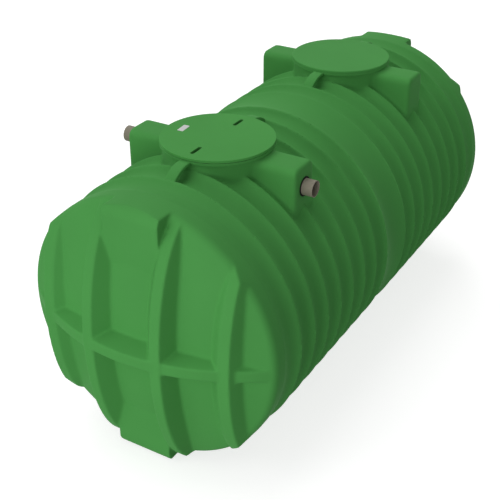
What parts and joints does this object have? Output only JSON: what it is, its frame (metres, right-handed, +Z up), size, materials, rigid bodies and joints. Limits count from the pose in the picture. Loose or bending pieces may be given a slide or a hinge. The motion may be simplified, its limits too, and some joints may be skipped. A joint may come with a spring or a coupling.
{
  "type": "underground rainwater tank",
  "caption": "Horizontal ribbed plastic tank for burying, with domed ribbed ends, round access turrets, side boxes, pipe stubs and lifting lugs.",
  "frame": {"origin": "centre of the tank on the level it stands on, under the middle of the plain band", "axes": "+X along the tank towards its far end, away from the turret with the pipes; +Y across the tank, to the left when looking along +X; +Z up"},
  "size_m": [4.205, 1.9, 1.974],
  "materials": {
    "tank_green": "satin rotationally moulded polyethylene",
    "lid_green": "satin moulded polyethylene",
    "pipe_grey": "smooth extruded drain pipe",
    "seal_black": "matt rubber"
  },
  "bodies": {
    "root": {"near_end_cap": "tank_green", "far_end_cap": "tank_green", "near_shell": "tank_green", "far_shell": "tank_green", "middle_band": "tank_green", "near_turret": "tank_green", "far_turret": "tank_green", "lid_seal": "seal_black", "near_lid": "lid_green", "far_turret_top": "tank_green", "near_right_box": "tank_green", "near_left_box": "tank_green", "far_right_box": "tank_green", "far_left_box": "tank_green", "right_pipe": "pipe_grey", "left_pipe": "pipe_grey", "right_pipe_seal": "seal_black", "left_pipe_seal": "seal_black", "near_outer_lug": "tank_green", "near_inner_lug": "tank_green", "far_outer_lug": "tank_green", "far_inner_lug": "tank_green"}
  },
  "joints": []
}
